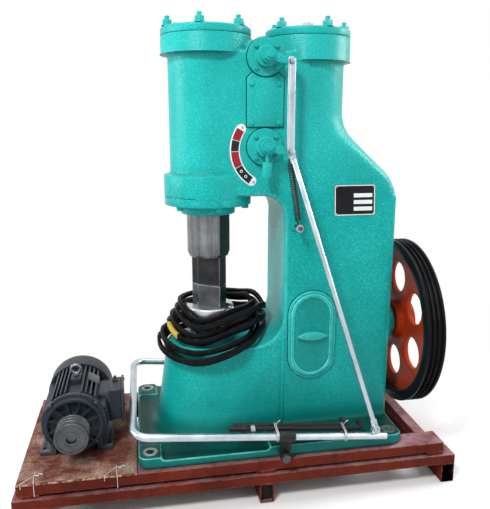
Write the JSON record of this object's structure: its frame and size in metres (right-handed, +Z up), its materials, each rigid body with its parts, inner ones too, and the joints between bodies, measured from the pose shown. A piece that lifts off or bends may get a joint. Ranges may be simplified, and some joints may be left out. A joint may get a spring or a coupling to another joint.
{
  "type": "power forging hammer",
  "caption": "Self-contained air forging hammer in hammered green paint, with a treadle-worked valve gear, flywheel, loose belts and motor, standing on a primed tube skid.",
  "frame": {"origin": "centre of the skid's footprint on the ground", "axes": "+X along the skid towards the flywheel, -Y towards the valve gear's side, +Z up"},
  "size_m": [1.28, 0.556, 1.33],
  "materials": {
    "casting_paint": "gloss hammered",
    "skid_primer": "matt",
    "board_wood": "rough",
    "turned_steel": "turned",
    "die_steel": "dull",
    "galvanised": "galvanised",
    "black_steel": "satin",
    "belt_rubber": "matt",
    "flywheel_paint": "satin",
    "motor_paint": "satin",
    "plate_enamel": "satin"
  },
  "bodies": {
    "machine": {"frame_casting": "casting_paint", "working_cylinder_cover": "casting_paint", "compressor_cover": "casting_paint", "ram_guide_flange": "casting_paint", "ram_gland": "casting_paint", "crankcase_cover": "casting_paint", "valve_chest_cover": "casting_paint", "upper_valve_cover": "casting_paint", "lower_valve_cover": "casting_paint", "crank_bearing": "casting_paint", "skid_feet": "skid_primer", "lower_rails": "skid_primer", "tier_spacers": "skid_primer", "upper_rails": "skid_primer", "end_rails": "skid_primer", "motor_board": "board_wood", "anvil_cap": "turned_steel", "lower_die": "die_steel", "spring_post": "galvanised", "lifting_eye": "galvanised", "treadle_pivot_bolts": "black_steel", "return_spring": "black_steel", "drive_belts": "belt_rubber", "motor_frame": "motor_paint", "motor_endshield": "motor_paint", "fan_cowl": "motor_paint", "terminal_box": "motor_paint", "terminal_box_lid": "motor_paint", "nameplate": "plate_enamel", "valve_dial": "plate_enamel"},
    "ram": {"ram": "turned_steel", "upper_die": "die_steel"},
    "upper_lever": {"upper_valve_lever": "casting_paint"},
    "lower_lever": {"lower_valve_lever": "casting_paint"},
    "link": {"valve_link": "galvanised"},
    "rod": {"treadle_rod": "galvanised"},
    "treadle": {"treadle_tube": "galvanised", "treadle_brackets": "black_steel", "treadle_clevis": "galvanised", "foundation_bolts": "black_steel"},
    "wheel": {"flywheel": "flywheel_paint", "crankshaft": "turned_steel"},
    "rotor": {"motor_shaft": "turned_steel", "motor_pulley": "turned_steel"}
  },
  "joints": [
    {"name": "ram_slide", "type": "slide", "parent": "machine", "child": "ram", "axis": [0, 0, 1], "range_m": [0, 0.12]},
    {"name": "flywheel_spin", "type": "hinge", "parent": "machine", "child": "wheel", "pos_m": [0.5515, 0, 0.442], "axis": [1, 0, 0], "continuous": true},
    {"name": "motor_spin", "type": "hinge", "parent": "machine", "child": "rotor", "pos_m": [-0.48, -0.165, 0.238], "axis": [0, -1, 0], "continuous": true},
    {"name": "treadle_tilt", "type": "hinge", "parent": "machine", "child": "treadle", "pos_m": [0.106, 0, 0.148], "axis": [0, -1, 0], "range_deg": [0, 7], "stiffness_Nm_per_rad": 60, "springref_deg": -14.32},
    {"name": "lower_valve_turn", "type": "hinge", "parent": "machine", "child": "lower_lever", "pos_m": [0.0745, -0.1443, 1.008], "axis": [0, -1, 0], "range_deg": [0, 32.5], "deforming": ["return_spring"]},
    {"name": "upper_valve_turn", "type": "hinge", "parent": "machine", "child": "upper_lever", "pos_m": [0.0745, -0.1443, 1.246], "axis": [0, -1, 0], "range_deg": [0, 32.5]},
    {"name": "link_turn", "type": "hinge", "parent": "lower_lever", "child": "link", "pos_m": [0.13536, -0.1576, 0.99617], "axis": [0, -1, 0], "range_deg": [-32.5, 0]},
    {"name": "rod_swing", "type": "hinge", "parent": "treadle", "child": "rod", "pos_m": [0.3764, -0.262, 0.20477], "axis": [0, -1, 0], "range_deg": [-7.7, 0]}
  ],
  "couplings": [
    {"joint": "lower_valve_turn", "follows": "treadle_tilt", "ratio": 4.6136},
    {"joint": "upper_valve_turn", "follows": "treadle_tilt", "ratio": 4.6136},
    {"joint": "link_turn", "follows": "treadle_tilt", "ratio": -4.6136},
    {"joint": "rod_swing", "follows": "treadle_tilt", "ratio": -1.0738}
  ]
}
